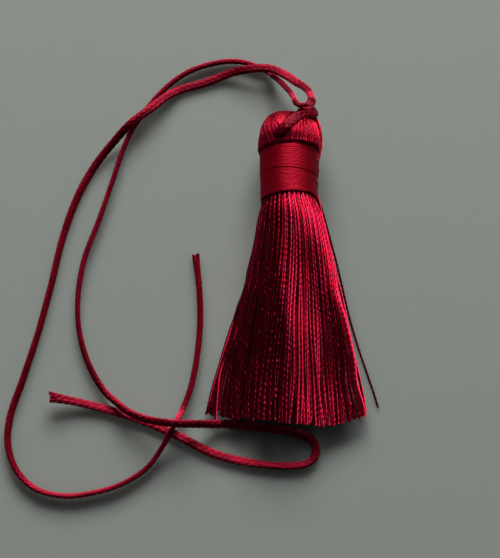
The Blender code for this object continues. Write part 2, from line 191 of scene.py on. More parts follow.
def unit(vectors):
    return vectors / np.maximum(np.linalg.norm(vectors, axis=-1, keepdims=True), 1e-12)


def smooth_line(points, step):
    """Points about a step apart on the centripetal Catmull-Rom curve through the given ones."""
    points = np.asarray(points, float)
    posts = np.vstack((2 * points[0] - points[1], points, 2 * points[-1] - points[-2]))
    fine = []
    share = np.linspace(0, 1, 16, endpoint=False)[:, None]
    for p0, p1, p2, p3 in zip(posts, posts[1:], posts[2:], posts[3:]):
        k1 = max(np.linalg.norm(p1 - p0), 1e-9) ** 0.5
        k2 = k1 + max(np.linalg.norm(p2 - p1), 1e-9) ** 0.5
        k3 = k2 + max(np.linalg.norm(p3 - p2), 1e-9) ** 0.5
        k = k1 + (k2 - k1) * share
        a1 = p0 + (p1 - p0) * k / k1
        a2 = p1 + (p2 - p1) * (k - k1) / (k2 - k1)
        a3 = p2 + (p3 - p2) * (k - k2) / (k3 - k2)
        b1 = a1 + (a2 - a1) * k / k2
        b2 = a2 + (a3 - a2) * (k - k1) / (k3 - k1)
        fine.append(b1 + (b2 - b1) * (k - k1) / (k2 - k1))
    fine = np.vstack((*fine, points[-1:]))
    return even(fine, step)


def even(line, step):
    along = distance(line)
    count = max(2, round(along[-1] / step))
    wanted = np.linspace(0, along[-1], count + 1)
    return np.stack([np.interp(wanted, along, line[:, axis]) for axis in range(3)], axis=1)


def distance(line):
    steps = np.linalg.norm(np.diff(line, axis=0), axis=1)
    return np.concatenate(([0.0], np.cumsum(steps)))


def frames(line, facing):
    """Across and up for every point of a line, up leaning towards facing."""
    ahead = unit(np.gradient(line, axis=0))
    across = unit(np.cross(ahead, np.broadcast_to(facing, line.shape)))
    return across, np.cross(across, ahead)


class Threads:
    """Swept threads gathered into one mesh, with a lengthwise UV map and a tone at every point."""

    def __init__(self, sides):
        self.sides = sides
        self.rings, self.along, self.tones = [], [], []

    def add(self, line, across, up, wide, high, turn=0.0, waist=1.0, tone=0.5, groove=0.0,
            taper=None, press=1.0):
        """turn is in radians at each ring. waist under 1 presses the section in between two plies,
        and press under 1 flattens the whole of it."""
        angle = np.linspace(0, 2 * math.pi, self.sides, endpoint=False)[None, :]
        pressed = np.sin(angle) ** 2
        grow = np.ones(len(line)) if taper is None else taper
        reach = (1 - (1 - waist) * pressed) * grow[:, None]
        a, b = np.cos(angle) * reach * wide / 2, np.sin(angle) * reach * high / 2
        turn = np.broadcast_to(turn, len(line))[:, None]
        x = a * np.cos(turn) - b * np.sin(turn)
        y = (a * np.sin(turn) + b * np.cos(turn)) * np.broadcast_to(press, len(line))[:, None]
        # Where the section is pinched between the two plies the tone is lowered: painted shade in
        # the groove.
        self.add_rings(
            line[:, None] + x[..., None] * across[:, None] + y[..., None] * up[:, None],
            distance(line), tone - groove * np.broadcast_to(pressed, x.shape),
        )

    def add_rings(self, rings, along, tones):
        self.rings.append(rings)
        self.along.append(along)
        self.tones.append(tones)

    def mesh(self, name, material):
        loops, counts, uvs = [], [], []
        base = 0
        for rings, along in zip(self.rings, self.along):
            n, sides = rings.shape[:2]
            i = np.arange(n - 1)[:, None]
            j = np.arange(sides)[None, :]
            k = (j + 1) % sides
            quads = np.stack(
                (i * sides + j, i * sides + k, (i + 1) * sides + k, (i + 1) * sides + j), axis=-1
            )
            loops.append((quads + base).ravel())
            counts.append(np.full((n - 1) * sides, 4))
            u = np.broadcast_to(np.stack((j, j + 1, j + 1, j), axis=-1) / sides, quads.shape)
            v = np.stack((along[i], along[i], along[i + 1], along[i + 1]), axis=-1) / MM
            v = np.broadcast_to(v, quads.shape)
            uvs.append(np.stack((u, v), axis=-1).reshape(-1, 2))
            ring = np.arange(sides)
            loops.append(np.concatenate((ring[::-1] + base, ring + base + (n - 1) * sides)))
            counts.append(np.array((sides, sides)))
            round_it = ring * 2 * math.pi / sides
            circle = np.stack((np.cos(round_it), np.sin(round_it)), 1)
            uvs.append(np.vstack((circle, circle)) * 0.1 + along[-1] / MM)
            base += n * sides
        verts = np.concatenate([rings.reshape(-1, 3) for rings in self.rings])
        loops, counts = np.concatenate(loops), np.concatenate(counts)
        mesh = bpy.data.meshes.new(name)
        mesh.vertices.add(len(verts))
        mesh.vertices.foreach_set("co", verts.ravel())
        mesh.loops.add(len(loops))
        mesh.loops.foreach_set("vertex_index", loops)
        mesh.polygons.add(len(counts))
        starts = np.concatenate(([0], np.cumsum(counts)[:-1]))
        mesh.polygons.foreach_set("loop_start", starts)
        layer = mesh.uv_layers.new(name="Lengthwise")
        layer.data.foreach_set("uv", np.concatenate(uvs).ravel())
        mesh.attributes.new("tone", "FLOAT", "POINT").data.foreach_set(
            "value", np.clip(np.concatenate([tones.ravel() for tones in self.tones]), 0, 1)
        )
        mesh.update(calc_edges=True)
        mesh.validate()
        mesh.shade_smooth()
        mesh.set_sharp_from_angle(angle=math.radians(80))
        mesh.materials.append(material)
        piece = bpy.data.objects.new(name, mesh)
        bpy.context.scene.collection.objects.link(piece)
        return piece


def silk(name, deep, bright, rough, fibres, body, slant):
    """Silk: fine fibres along the thread, a tone for each, and a lustre of its own colour.

    deep and bright are its darkest and lightest colours, and fibres is how many streaks go round a
    thread. body is how much of the light comes back as lustre instead of from within, and slant how
    far the fibres lie off the thread's own line, in turns.
    """
    material = bpy.data.materials.new(name)
    material.use_nodes = True
    tree = material.node_tree
    shader = tree.nodes["Principled BSDF"]
    shader.inputs["Metallic"].default_value = body
    shader.inputs["Roughness"].default_value = rough
    shader.inputs["Anisotropic"].default_value = 1.0
    shader.inputs["Anisotropic Rotation"].default_value = slant
    shader.inputs["Specular IOR Level"].default_value = 0.2
    shader.inputs["Specular Tint"].default_value = (1.0, 0.65, 0.80, 1.0)
    shader.inputs["Sheen Weight"].default_value = 0.03
    shader.inputs["Sheen Roughness"].default_value = 0.4
    shader.inputs["Sheen Tint"].default_value = (1.0, 0.15, 0.3, 1.0)

    def node(kind, **values):
        made = tree.nodes.new(kind)
        for key, value in values.items():
            setattr(made, key, value)
        return made

    uv = node("ShaderNodeUVMap", uv_map="Lengthwise")
    stretch = node("ShaderNodeMapping")
    stretch.inputs["Scale"].default_value = (fibres, 0.6, 1.0)
    streaks = node("ShaderNodeTexNoise", noise_dimensions="2D")
    streaks.inputs["Scale"].default_value = 1.0
    streaks.inputs["Detail"].default_value = 3.0
    tree.links.new(uv.outputs["UV"], stretch.inputs["Vector"])
    tree.links.new(stretch.outputs["Vector"], streaks.inputs["Vector"])

    tone = node("ShaderNodeAttribute", attribute_name="tone")
    part = node("ShaderNodeMath", operation="MULTIPLY_ADD")
    part.inputs[1].default_value = 0.4
    part.inputs[2].default_value = -0.2
    tree.links.new(streaks.outputs["Fac"], part.inputs[0])
    both = node("ShaderNodeMath", operation="ADD", use_clamp=True)
    tree.links.new(part.outputs[0], both.inputs[0])
    tree.links.new(tone.outputs["Fac"], both.inputs[1])
    colour = node("ShaderNodeMix", data_type="RGBA")
    colour.inputs["A"].default_value = (*deep, 1.0)
    colour.inputs["B"].default_value = (*bright, 1.0)
    tree.links.new(both.outputs[0], colour.inputs["Factor"])
    tree.links.new(colour.outputs["Result"], shader.inputs["Base Color"])

    bump = node("ShaderNodeBump")
    bump.inputs["Strength"].default_value = 0.2
    bump.inputs["Distance"].default_value = 0.02 * MM
    tree.links.new(streaks.outputs["Fac"], bump.inputs["Height"])
    tree.links.new(bump.outputs["Normal"], shader.inputs["Normal"])

    lie = node("ShaderNodeTangent", direction_type="UV_MAP", uv_map="Lengthwise")
    tree.links.new(lie.outputs["Tangent"], shader.inputs["Tangent"])
    return material


# ---------------------------------------------------------------- skirt


def skirt_section(y):
    """Middle, half width, crown, widest line and flatness of the skirt at each y, in metres."""
    far, rows = SKIRT[:, 0], SKIRT[:, 1:]
    slopes = np.gradient(rows, far, axis=0)
    at = np.clip(y / MM, far[0], far[-1])
    i = np.clip(np.searchsorted(far, at, side="right") - 1, 0, len(far) - 2)
    long = (far[i + 1] - far[i])[:, None]
    t = ((at - far[i]) / long[:, 0])[:, None]
    columns = (
        (1 + 2 * t) * (1 - t) ** 2 * rows[i] + t * (1 - t) ** 2 * slopes[i] * long
        + t**2 * (3 - 2 * t) * rows[i + 1] - t**2 * (1 - t) * slopes[i + 1] * long
    ).T
    return (*[c * MM for c in columns[:4]], np.clip(columns[4], 0, 1))


def skirt_place(y, out, angle):
    """A point of the skirt's section: out is 0 at its heart and 1 at its skin."""
    middle, half, crown, widest, flat = skirt_section(y)
    skin = YARN_WIDE / 2
    x = middle + (half - skin) * out * np.cos(angle)
    up = np.sin(angle)
    ridge = smooth_step((9.0 - y / MM) / 22)
    far = np.cos(angle)
    top = -0.35 * smooth_step((y / MM + 22) / 26)
    near = smooth_step((y / MM + 26) / 22)
    bulge = np.sin(math.pi * np.clip((y / MM + 33) / 40, 0, 1)) ** 1.3
    widest = widest + EDGE_BULGE * bulge * smooth_step(2.2 * far - 1.1)
    wing = (0.24 + 0.24 * near) * np.maximum(up, 0) ** 0.25
    humped = np.where(
        far > top, wing + (1 - wing) * np.exp(-(((far - top) / (0.42 + 0.2 * near)) ** 2)),
        1 - np.abs((far - top) / (1 + top)) ** 1.5,
    )
    over = widest + (crown - skin - widest) * out * (up * (1 - ridge) + humped * ridge)
    turned = np.maximum(0.0, 1 + up / 0.55) ** 2
    under_skin = widest * ((1 + up) * (1 - flat) + turned * flat)
    under = widest - (widest - np.maximum(under_skin, skin)) * out
    return np.stack((x, y, np.where(up >= 0, over, under)), axis=1)


def cut_end(out, angle):
    """Where a yarn is cut: nearly the same reach from the binding, less on the underside."""
    y = BAND_FOOT - 43.5 * MM
    far, reach = np.array(REACH).T
    for _ in range(5):
        x = skirt_place(np.array([y]), out, angle)[0, 0]
        long = np.interp(x / MM, far, reach) * MM
        y = BAND_FOOT - math.sqrt(long**2 - (x - NECK_X) ** 2)
    deep = 1.5 * (max(0.0, -math.sin(angle)) + 1 - out)
    return y + UNDERCUT * min(1.0, deep)


def draw_in(line):
    """Draws the skirt's edge in where a chink shows behind an edge yarn."""
    middle, half = skirt_section(line[:, 1])[:2]
    far = (line[:, 0] - middle) / half
    for side, at, length, depth in CHINKS:
        along = np.clip(1 - ((line[:, 1] / MM - at) / length) ** 2, 0, 1) ** 1.5
        line[:, 0] -= side * depth * MM * along * np.clip(side * far * 2.2 - 1.2, 0, 1)
    return line


def skirt_yarns(material):
    """All the yarns of the skirt, from inside the binding to their cut ends."""
    dice = random.Random(SEED)
    lean = [dice.gauss(0, 0.045) for _ in range(LOCKS + 1)]
    pull = [dice.uniform(0.05, 0.42) for _ in range(LOCKS + 1)]
    lift = [dice.uniform(-0.07, 0.0) for _ in range(LOCKS + 1)]

    def lay(bunch, angle, at_neck, at_end, step, stray=0.0):
        lock = int((angle % (2 * math.pi)) / (2 * math.pi) * LOCKS)
        home = (lock + 0.5) * 2 * math.pi / LOCKS
        start = angle % (2 * math.pi)
        side = start if start <= math.pi else 2 * math.pi - start
        spread = math.acos(0.4 * math.cos(side) + 0.6 * (1 - 2 * side / math.pi))
        spread = spread if start <= math.pi else 2 * math.pi - spread
        final = spread + (home - start) * pull[lock] + lean[lock] + dice.gauss(0, 0.02) + stray
        end = cut_end(at_end, final) + dice.gauss(0, 0.11) * MM
        count = round((BAND_FOOT + 1.5 * MM - end) / step)
        y = np.linspace(BAND_FOOT + 1.5 * MM, end, count + 1)
        s = np.linspace(0, 1, count + 1)
        fan = np.clip((s - 0.04) / 0.96, 0, 1)
        path_angle = start + (final - start) * fan**0.9
        phase = dice.uniform(0, 6)
        for k in range(3):
            path_angle += dice.gauss(0, 0.012) * fan * np.sin((k + 1) * math.pi * s * 1.4 + phase)
        out = at_neck + (at_end - at_neck) * smooth_step(s * 1.3)
        out = out * (1 + lift[lock] * fan) - 0.012 * (1 + np.sin(s * 8 + phase)) * fan
        out = out + (at_neck > 0.8) * (1.0 - out) * np.abs(np.cos(path_angle)) ** 10
        line = draw_in(skirt_place(y, np.minimum(out, 1.0), path_angle))
        beside = draw_in(skirt_place(y, np.minimum(out, 1.0), path_angle - 0.04))
        across, up = frames(line, np.cross(unit(beside - line), unit(np.gradient(line, axis=0))))
        turn = distance(line) / PLY_TURN * 2 * math.pi + dice.uniform(0, math.pi)
        at_edge = smooth_step(1.7 * np.abs(np.cos(path_angle)) - 0.5)
        flatter = 0.13 * at_edge * smooth_step(s * 2 - 0.5)
        bunch.add(
            line, across, up, PACKED_WIDE, PACKED_WIDE, turn=turn, waist=PACKED_WAIST,
            tone=dice.uniform(0.3, 0.75), groove=0.4, press=PACKED_PRESS - flatter,
        )

    pieces = []
    for name, yarns, first, last, at_neck, at_end in (
        ("skirt_outer_yarns", 60, -14, 194, 1.0, 0.99),
        ("skirt_second_yarns", 54, -18, 198, 0.94, 0.93),
        ("skirt_third_yarns", 44, -24, 204, 0.85, 0.80),
        ("skirt_under_yarns", 34, 204, 336, 1.0, 0.98),
    ):
        bunch = Threads(8)
        space = math.radians(last - first) / yarns
        crossing = {dice.randrange(yarns): dice.choice((-1, 1)) * dice.uniform(0.06, 0.15)
                    for _ in range(9)}
        for index in range(yarns):
            angle = math.radians(first) + space * (index + 0.5) + dice.gauss(0, 0.18) * space
            lay(
                bunch, angle, at_neck - 0.05 * (index % 3), at_end, YARN_STEP,
                stray=crossing.get(index, 0.0),
            )
        if name == "skirt_under_yarns":
            for row in EDGE_YARNS:
                line = smooth_line(np.array(row) * MM, YARN_STEP)
                across, up = frames(line, (0, 0, 1))
                bunch.add(
                    line, across, up, YARN_WIDE, YARN_WIDE, waist=YARN_WAIST, groove=0.3, tone=0.5,
                    turn=distance(line) / PLY_TURN * 2 * math.pi + dice.uniform(0, math.pi),
                )
        pieces.append(bunch.mesh(name, material))
    heart = Threads(6)
    golden = math.pi * (3 - math.sqrt(5))
    for index in range(HEART_YARNS):
        out = 0.76 * math.sqrt((index + 0.5) / HEART_YARNS)
        lay(heart, index * golden, out, out, HEART_STEP)
    pieces.append(heart.mesh("skirt_heart_yarns", material))
    for piece in pieces:
        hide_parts("hank")
    return pieces


# ---------------------------------------------------------------- fold above the binding


# The lie of the yarns over the head, from one side of the fold to the other: rows of places that a
# yarn passes, from the binding to where it goes under the cord. The first row is nearest the front.
LEFT_LIE = np.array([
    ((-1.1, 20.6, 11.0), (-1.15, 22.6, 11.3), (-1.45, 24.2, 10.9), (-1.75, 25.3, 10.5),
     (-1.65, 25.9, 10.4), (-1.35, 25.6, 10.7), (-1.1, 24.8, 11.1)),
    ((-1.2, 20.6, 11.0), (-1.5, 22.7, 11.3), (-1.9, 24.5, 10.9), (-2.2, 26.0, 10.3),
     (-1.9, 26.9, 10.1), (-1.4, 26.4, 10.5), (-1.0, 25.2, 11.1)),
    ((-1.8, 20.6, 10.7), (-2.6, 22.9, 10.8), (-3.0, 24.8, 10.2), (-3.0, 26.6, 9.6),
     (-2.4, 27.5, 9.4), (-1.4, 27.1, 10.1), (-0.5, 25.8, 10.9)),
    ((-2.4, 20.6, 10.2), (-3.3, 23.0, 10.2), (-3.7, 25.1, 9.4), (-3.6, 27.2, 8.4),
     (-2.8, 28.4, 8.1), (-1.4, 28.0, 9.5), (0.0, 26.6, 10.7)),
    ((-3.5, 20.6, 9.3), (-4.2, 23.2, 9.1), (-4.5, 25.7, 7.8), (-4.0, 27.8, 7.2),
     (-2.9, 29.0, 7.7), (-1.3, 29.1, 8.3), (0.5, 27.4, 10.2)),
    ((-4.4, 20.6, 7.8), (-4.9, 23.7, 7.1), (-4.9, 25.9, 6.7), (-4.3, 27.5, 6.6),
     (-3.0, 29.2, 6.6), (-0.9, 29.6, 7.4), (1.3, 28.5, 9.2)),
    ((-5.0, 20.6, 5.6), (-5.3, 23.7, 5.4), (-5.1, 26.2, 5.0), (-4.0, 28.3, 4.9),
     (-2.2, 29.6, 5.4), (0.2, 29.9, 6.4), (2.4, 29.4, 7.8)),
    ((-4.6, 20.6, 3.2), (-4.9, 23.6, 3.0), (-4.6, 26.0, 3.0), (-3.4, 28.1, 3.4),
     (-1.4, 29.4, 4.2), (0.8, 29.7, 5.2), (2.8, 29.5, 6.4)),
    ((-3.0, 20.6, 1.2), (-3.3, 23.4, 0.8), (-3.1, 25.6, 1.1), (-2.2, 27.4, 1.9),
     (-0.6, 28.6, 2.8), (1.2, 29.1, 3.8), (3.0, 29.2, 4.8)),
    ((-1.2, 20.6, 0.5), (-1.5, 22.8, 0.0), (-1.4, 24.6, 0.4), (-0.8, 26.2, 1.1),
     (0.3, 27.4, 1.9), (1.6, 28.2, 2.7), (2.9, 28.8, 3.6)),
])
RIGHT_LIE = np.array([
    ((-1.1, 20.6, 11.0), (-1.1, 21.7, 11.2), (-0.9, 22.4, 11.4), (-0.7, 23.1, 11.4),
     (-0.5, 23.8, 11.4)),
    ((-0.5, 20.6, 11.2), (-0.4, 21.9, 11.5), (0.0, 23.2, 11.5), (0.5, 24.3, 11.4),
     (0.9, 25.0, 11.0)),
    ((0.5, 20.6, 11.3), (0.6, 22.4, 11.6), (0.9, 23.9, 11.5), (1.4, 25.0, 11.3), (1.8, 25.8, 10.6)),
    ((1.6, 20.6, 11.2), (1.6, 22.6, 11.5), (1.9, 24.2, 11.4), (2.3, 25.4, 11.1), (2.7, 26.4, 10.3)),
    ((2.7, 20.6, 10.9), (2.7, 22.7, 11.4), (2.9, 24.4, 11.2), (3.1, 25.7, 10.9), (3.4, 26.9, 9.9)),
    ((3.8, 20.6, 10.3), (3.9, 22.8, 11.1), (4.0, 24.5, 10.9), (3.9, 26.0, 10.6), (3.9, 27.2, 9.6)),
    ((4.8, 20.6, 9.4), (4.9, 22.8, 10.5), (4.9, 24.7, 10.4), (4.5, 26.1, 10.2), (4.3, 27.4, 9.2)),
    ((5.9, 20.6, 8.0), (5.9, 23.2, 9.3), (5.7, 25.0, 9.4), (5.1, 26.4, 9.5), (4.7, 27.8, 8.8)),
    ((6.6, 20.6, 5.9), (6.7, 23.5, 7.2), (6.3, 25.3, 7.6), (5.6, 26.8, 8.2), (4.9, 28.2, 8.0)),
    ((6.3, 20.6, 4.2), (6.6, 23.2, 4.8), (6.3, 25.4, 5.4), (5.6, 27.4, 6.2), (4.6, 28.9, 6.6)),
    ((5.4, 20.6, 2.4), (5.7, 23.0, 2.4), (5.6, 25.2, 2.8), (4.9, 27.2, 3.6), (3.9, 28.8, 4.8)),
    ((3.4, 20.6, 0.9), (3.7, 22.8, 0.5), (3.8, 24.8, 0.8), (3.5, 26.6, 1.6), (3.1, 28.2, 2.9)),
    ((1.4, 20.6, 0.4), (1.6, 22.4, -0.1), (1.8, 24.2, 0.2), (2.0, 25.7, 0.8), (2.2, 27.0, 1.6)),
    ((-0.4, 20.6, 0.5), (-0.2, 22.2, 0.0), (0.1, 23.5, 0.1), (0.6, 24.7, 0.5), (1.2, 25.9, 1.0)),
])


def on_head(points, sunk):
    """Brings points onto the rounded head, sunk below its skin."""
    x, y, z = points.T
    climb = np.maximum(y - HEAD_FOOT, 0) / HEAD_RISE
    lean = HEAD_LEAN * np.minimum(climb, 1.0) ** 2 * (x < HEAD_X + 1.5)
    q = np.stack((x - HEAD_X + lean, climb * HEAD_RADIUS, z - HEAD_Z), axis=1)
    size = np.linalg.norm(q, axis=1)
    square = 2.2 + 0.9 * np.clip(q[:, 0] / np.maximum(size, 1e-6), 0, 1)
    pull = (np.abs(q) ** square[:, None]).sum(1) ** (1 / square)
    tucked = 1.1 * np.clip((HEAD_FOOT - 0.1 - y) / 0.4, 0, 1)
    tucked += 0.55 * (1 - smooth_step((y - 21.9) / 2.4)) * np.clip(q[:, 2] / HEAD_RADIUS, 0, 1)
    q = q * ((HEAD_RADIUS - sunk - tucked) / np.maximum(pull, 1e-6))[:, None]
    risen = HEAD_FOOT + q[:, 1] / HEAD_RADIUS * HEAD_RISE
    return np.stack(
        (q[:, 0] + HEAD_X - lean, np.where(y > HEAD_FOOT, risen, y), q[:, 2] + HEAD_Z), axis=1
    )


# The lobe behind the right of the head: its front and its back yarn
BACK_LOBE = np.array((
    ((6.0, 20.6, 6.3), (6.5, 23.5, 7.0), (6.4, 25.5, 7.7), (5.9, 27.3, 8.2), (5.1, 28.8, 8.3),
     (4.3, 29.5, 8.0)),
    ((6.0, 20.6, 3.0), (6.6, 23.5, 3.4), (6.6, 25.6, 4.0), (6.1, 27.7, 4.8), (5.1, 29.2, 5.6),
     (4.3, 29.9, 6.2)),
))


def bridge_rows(count):
    """Rows that carry the left yarns on beneath the ends of the right ones."""
    shares = np.linspace(0, 1, count)[:, None]
    before, near, far = (
        np.hstack([np.interp(shares, np.linspace(0, 1, len(row)), row[:, k]) for k in range(3)])
        for row in (LEFT_LIE[1:8, -2], LEFT_LIE[1:8, -1], RIGHT_LIE[1:10, -1])
    )
    return np.stack((before, near, (near + far) / 2, far, far * 1.3 - near * 0.3), axis=1)


def lie_rows(table, count, inset, gaps=()):
    """Rows between those of a table, evenly spread from its first to its last."""
    rows = np.linspace(inset, len(table) - 1 - inset, count)
    posts = np.concatenate((2 * table[:1] - table[1:2], table, 2 * table[-1:] - table[-2:-1]))
    out = []
    for row in rows:
        if any(low < row < high for low, high in gaps):
            continue
        i = min(int(row), len(table) - 2)
        t = row - i
        p0, p1, p2, p3 = posts[i : i + 4]
        out.append(0.5 * (
            2 * p1 + (p2 - p0) * t + (2 * p0 - 5 * p1 + 4 * p2 - p3) * t**2
            + (3 * p1 - p0 - 3 * p2 + p3) * t**3
        ))
    return out


def add_folded(bunch, line, facing, dice, tones, press=PACKED_PRESS):
    across, up = frames(line, facing)
    bunch.add(
        line, across, up, FOLDED_WIDE, FOLDED_WIDE, waist=PACKED_WAIST,
        turn=distance(line) / PLY_TURN * 2 * math.pi + dice.uniform(0, math.pi),
        tone=dice.uniform(*tones), groove=0.4, press=press,
    )


def fold_yarns(material):
    """The yarns over the head: the left and right sides of the fold, what closes it, and a lobe."""
    dice = random.Random(SEED + 1)
    made = []
    for name, table, count, gaps in (
        ("fold_left_yarns", LEFT_LIE, 49, ()), ("fold_right_yarns", RIGHT_LIE, 50, ((5.3, 5.55),)),
    ):
        bunch = Threads(8)
        for layer, (sunk, inset) in enumerate(((0.2, 0.0), (0.52, 0.12))):
            for row in lie_rows(table, count - 4 * layer, inset, gaps if layer == 0 else ()):
                row = row + np.array([[dice.gauss(0, 0.04) for _ in range(3)] for _ in row])
                line = smooth_line(on_head(row, sunk + dice.gauss(0, 0.05)), YARN_STEP / MM)
                line = on_head(line, sunk + dice.gauss(0, 0.05)) * MM
                line[:, 2] = np.maximum(line[:, 2], PRESSED_YARN)
                add_folded(bunch, line, line - HEAD_MIDDLE, dice, (0.3, 0.7))
        # The yarns that close the fold beneath the others, and those of the lobe behind, take a
        # darker tone range: painted shade.
        for row in bridge_rows(17) if name == "fold_left_yarns" else ():
            line = smooth_line(on_head(row, BRIDGE_SUNK), YARN_STEP / MM)
            line = on_head(line, BRIDGE_SUNK) * MM
            add_folded(bunch, line, line - HEAD_MIDDLE, dice, (0.2, 0.5))
        for share in np.linspace(0, 1, 15) if name == "fold_right_yarns" else ():
            line = smooth_line((BACK_LOBE[0] * (1 - share) + BACK_LOBE[1] * share) * MM, YARN_STEP)
            outward = line - HEAD_MIDDLE
            line += unit(outward) * 0.35 * MM * math.sin(math.pi * share)
            add_folded(bunch, line, outward, dice, (0.2, 0.5), press=0.6)
        piece = bunch.mesh(name, material)
        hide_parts("hank")
        made.append(piece)
    return made


def fold_heart(material):
    """The yarns inside the fold, as one rounded body that only shows between the outer ones."""
    bpy.ops.object.select_all(action="DESELECT")
    bpy.ops.mesh.primitive_uv_sphere_add(segments=48, ring_count=32, radius=1.0)
    piece = bpy.context.object
    piece.name = "fold_heart"
    # Two axes change places, which would turn the faces inwards, so the third is turned round too
    a, c, b = np.array([v.co for v in piece.data.vertices]).T
    a = -a
    round_the_axis = np.maximum(np.hypot(a, c), 1e-6)
    above = np.stack(
        (HEAD_X + a * HEAD_RADIUS, HEAD_FOOT + 0.01 + np.maximum(b, 0) * HEAD_RISE,
         HEAD_Z + c * HEAD_RADIUS), axis=1,
    )
    placed = on_head(above, 0.5)
    spread = (HEAD_RADIUS - 1.0) * np.minimum(1, round_the_axis * 1.15) / round_the_axis
    below = np.stack((HEAD_X + a * spread, HEAD_FOOT + b * 1.7, HEAD_Z + c * spread), axis=1)
    placed = np.where(b[:, None] >= -1e-4, placed, below)
    piece.data.vertices.foreach_set("co", (placed * MM).ravel())
    piece.data.update()
    bpy.ops.object.shade_smooth()
    # The body's near-black finish is painted shade between the outer yarns.
    piece.data.materials.append(material)
    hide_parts("hank")
    return piece


# ---------------------------------------------------------------- binding


def binding(material):
    """Fine thread wound side by side in two passes, the upper lapping over the lower."""
    dice = random.Random(SEED + 2)
    bunch = Threads(6)
    pitch, thick = 0.25 * MM, 0.29 * MM
    for foot, head, lapped in (
        (BAND_FOOT, BAND_LAP + 0.5 * MM, 0.0), (BAND_LAP, BAND_TOP, 1.0),
    ):
        turns = (head - foot - thick) / pitch
        angle = np.arange(0, turns * 2 * math.pi, math.radians(5.5))
        y = foot + thick / 2 + angle / (2 * math.pi) * pitch
        wobble = np.array([dice.gauss(0, 1) for _ in range(int(turns) + 3)])
        slip = np.interp(angle / (2 * math.pi), np.arange(len(wobble)), wobble)
        edge = np.minimum(1, np.minimum(y - foot, head - y) / (0.5 * MM))
        side = np.cos(angle)
        risen = LAP_RISE * lapped * (0.65 + 0.35 * side)
        widened = 0.12 * MM * (1 - side) / 2 * (y - BAND_FOOT) / (BAND_TOP - BAND_FOOT)
        knobs = sum(
            0.13 * MM * np.exp(-(((y - at * MM) / (0.32 * MM)) ** 2)) * np.clip(side * 4 - 3, 0, 1)
            for at in (15.2, 17.9, 19.3)
        )
        r = BAND_RADIUS + risen + widened + knobs
        r = r - thick / 2 - 0.09 * MM * (1 - edge) ** 2 + slip * 0.010 * MM
        tilt = np.interp(y / MM, (11.9, 16.4, 16.8, 21.7), (0.45, -0.15, -0.30, 0.05)) * MM
        y = y + np.roll(slip, 9) * 0.012 * MM + tilt * side * np.maximum(0, np.sin(angle))
        height = np.maximum(NECK_Z + r * np.sin(angle), thick * 0.42)
        line = np.stack((NECK_X + r * side, y, height), axis=1)
        outward = np.stack((side, 0 * angle, np.sin(angle)), axis=1)
        across, up = frames(line, outward)
        bunch.add(line, across, up, thick, thick * 0.8, tone=0.5)
    piece = bunch.mesh("binding_thread", material)
    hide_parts("band")
    return piece


# ---------------------------------------------------------------- cord


def braid(bunch, line, facing, turn, phase, grow, stitch_tones):
    """Flat braid whose skin stands up in slanting leaf stitches, in columns round its section."""
    across, up = frames(line, facing)
    c, s = np.cos(turn)[:, None], np.sin(turn)[:, None]
    across, up = across * c + up * s, up * c - across * s
    angle = np.linspace(0, 2 * math.pi, bunch.sides, endpoint=False)[None, :]
    column = angle / (2 * math.pi) * STITCH_COLUMNS
    which = np.floor(column + 1e-6)
    within = column - which - 0.5
    slant = np.where(which % 2 > 0, 1, -1) * 0.45 * STITCH
    along = distance(line)[:, None] + phase + slant * within + (which % 2) * STITCH / 2
    leaf = np.abs(np.cos(math.pi * along / STITCH)) ** 0.7 * np.cos(math.pi * within) ** 0.6
    number = np.floor(along / STITCH + 0.5).astype(int) * 5 + which.astype(int) * 17
    own = np.array(stitch_tones)[number % len(stitch_tones)]
    flat = 2 / 2.5
    x = np.sign(np.cos(angle)) * np.abs(np.cos(angle)) ** flat * (CORD_WIDE / 2 - STITCH_RISE)
    y = np.sign(np.sin(angle)) * np.abs(np.sin(angle)) ** flat * (CORD_THICK / 2 - STITCH_RISE)
    x = (x + np.cos(angle) * STITCH_RISE * leaf) * grow[:, None]
    y = (y + np.sin(angle) * STITCH_RISE * leaf) * (0.5 + 0.5 * grow[:, None])
    # The tone is highest on each stitch's crown and lowest between stitches: painted shade in the
    # grooves. own adds each stitch's random tone.
    bunch.add_rings(
        line[:, None] + x[..., None] * across[:, None] + y[..., None] * up[:, None],
        distance(line) + phase, 0.05 + 0.55 * leaf + own,
    )
    return across, up


def frayed_end(bunch, tip, ahead, across, up, spread, dice):
    """Short ends of the strands that stand out where the cord is cut."""
    for index in range(14):
        angle = index / 14 * 2 * math.pi + dice.uniform(-0.2, 0.2)
        side = math.cos(angle) * across * CORD_WIDE * 0.34
        side = side + math.sin(angle) * up * CORD_THICK * 0.32
        long = dice.uniform(0.75, 1.25)
        steps = np.array((-1.1, -0.5, 0.0, 0.45, 0.9 * long))[:, None]
        open_up = np.array((0.8, 0.95, 1.1, 1.15 * spread, 1.25 * spread))[:, None]
        line = tip + ahead * steps * MM + side * open_up
        line[:, 2] = np.maximum(line[:, 2], 0.2 * MM)
        strand_across, strand_up = frames(line, up)
        taper = np.array((1.0, 1.0, 1.0, 0.95, 0.7))
        bunch.add(
            line, strand_across, strand_up, 0.42 * MM, 0.34 * MM, tone=dice.uniform(0.2, 0.6),
            taper=taper,
        )


def cord_line():
    """The whole cord on one line: inner tail, both legs through the fold, outer tail."""
    route = [*TAIL_INNER[::-1], *FRONT_LEG[:-1], *BACK_LEG[-3::-1], *TAIL_OUTER]
    return smooth_line(np.array(route) * MM, CORD_STEP)


def turned_at(along, table):
    far, degrees = np.array(table, float).T
    return np.radians(np.interp(along / MM, far, degrees))


